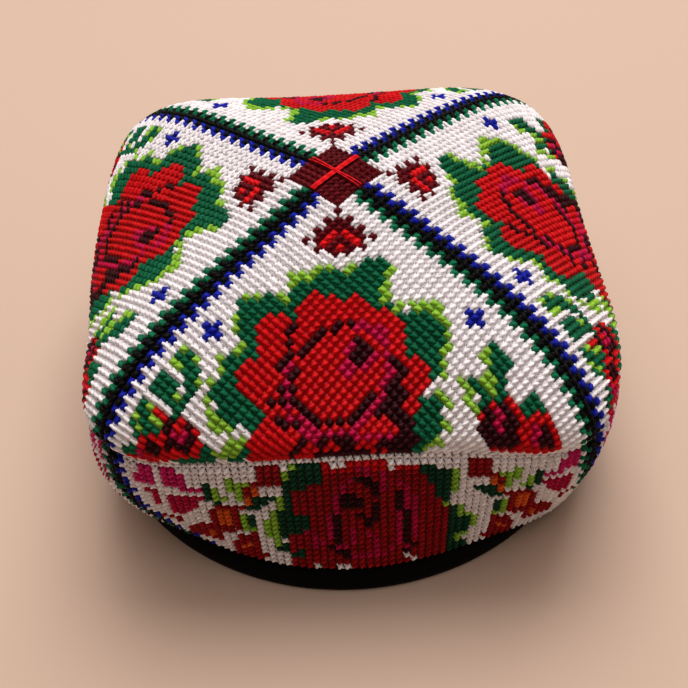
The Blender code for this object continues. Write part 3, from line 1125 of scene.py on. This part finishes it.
def floor():
    """A sheet of pale warm paper, wide enough to fill the view."""
    bpy.ops.object.select_all(action="DESELECT")
    bpy.ops.mesh.primitive_plane_add(size=6, location=(0, 0, 0))
    piece = bpy.context.object
    piece.name = "paper_floor"
    paper, _ = new_material(
        "warm_matt_paper", Base_Color=(*linear("#D0B6A4"), 1), Roughness=0.95, Specular_IOR_Level=0.1
    )
    piece.data.materials.append(paper)


def lamp(name, place, aim, size, power, colour):
    """A square soft box, turned to what it lights."""
    data = bpy.data.lights.new(name, "AREA")
    data.shape = "SQUARE"
    data.size = size
    data.energy = power
    data.color = linear(colour)
    made = bpy.data.objects.new(name, data)
    bpy.context.collection.objects.link(made)
    made.location = place
    made.rotation_mode = "QUATERNION"
    made.rotation_quaternion = (Vector(aim) - Vector(place)).to_track_quat("-Z", "Y")


def lights():
    """A soft box above and behind, a pale ceiling, and a faint warm room all round."""
    bpy.context.scene.view_settings.view_transform = "Standard"
    lamp("soft_box_above", (0.1, 0.45, 1.25), (0, 0, 0.05), 0.9, 14, "#FFFCFA")
    lamp("pale_ceiling", (0, 0.2, 2.3), (0, 0, 0), 2.6, 25, "#FFF8F2")
    world = bpy.data.worlds.new("room")
    bpy.context.scene.world = world
    world.use_nodes = True
    background = world.node_tree.nodes["Background"]
    background.inputs["Color"].default_value = (*linear("#FFE4D2"), 1)
    background.inputs["Strength"].default_value = 0.2


# Millimetres and degrees, fitted to the photo's stitch grid, stripes and rim
CAMERA = {
    "aim_height": 27.2,
    "distance": 457.05,
    "elevation": 46.28,
    "turn": -0.65,
    "roll": -3.0,
    "lens": 62.84,
    "shift_up": 0.003,
}


def camera():
    """The photographer's place: above and before the cap, almost square to its front."""
    elevation = math.radians(CAMERA["elevation"])
    turn = Matrix.Rotation(math.radians(CAMERA["turn"]), 3, "Z")
    back = turn @ Vector((0, -math.cos(elevation), math.sin(elevation)))
    right = turn @ Vector((1, 0, 0))
    above = back.cross(right)
    roll = math.radians(CAMERA["roll"])
    view_right = right * math.cos(roll) + above * math.sin(roll)
    view_up = above * math.cos(roll) - right * math.sin(roll)
    data = bpy.data.cameras.new("camera")
    data.sensor_width = 36
    data.lens = CAMERA["lens"]
    data.shift_y = -CAMERA["shift_up"]
    data.clip_start, data.clip_end = 0.01, 20
    made = bpy.data.objects.new("camera", data)
    bpy.context.collection.objects.link(made)
    aim = Vector((0, 0, CAMERA["aim_height"] * MM))
    turned_view = Matrix((view_right, view_up, back)).transposed()
    made.matrix_world = Matrix.Translation(aim + back * CAMERA["distance"] * MM) @ turned_view.to_4x4()
    bpy.context.scene.camera = made


def dress(cloth, stitches, node):
    """The canvas and its stitches stand for the panel's solid."""
    outward_faces(stitches)
    for piece in (cloth, stitches):
        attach(piece, "root")
    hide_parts(node)


def main():
    random = np.random.default_rng(SEED)
    threads = [cotton_thread(name, *finish) for name, finish in THREADS.items()]
    cottons = [
        # the canvas is given a dark brown: painted shade in the gaps between the stitches
        cotton_canvas("cotton_canvas_dark_as_painted_shade", "#3F342B"),
        cotton_canvas("white_cotton_lining", "#D9D3C6"),
    ]
    chart = crown_chart()
    band = band_chart()
    crown_places = {}
    for panel in SIDES:
        place, room = crown_surface(panel)
        cloth = canvas("canvas_crown_" + panel, place, crown_corners(room), CROWN_CANVAS_STEPS, cottons)
        stitches = crown_stitches(panel, place, room, chart, random, threads)
        crown_places[panel] = place
        dress(cloth, stitches, "crown_" + panel)
        crown_area(room)
        place, room = band_surface(panel)
        cloth = canvas("canvas_band_" + panel, place, band_corners(room), BAND_CANVAS_STEPS, cottons)
        stitches = band_stitches(panel, place, room, band, random, threads)
        dress(cloth, stitches, "band_" + panel)
    cross = middle_cross(whole_crown(crown_places), random, threads)
    outward_faces(cross)
    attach(cross, "root")
    velvet = rim(black_velvet())
    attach(velvet, "root")
    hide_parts("rim_binding")
    floor()
    lights()
    camera()


main()
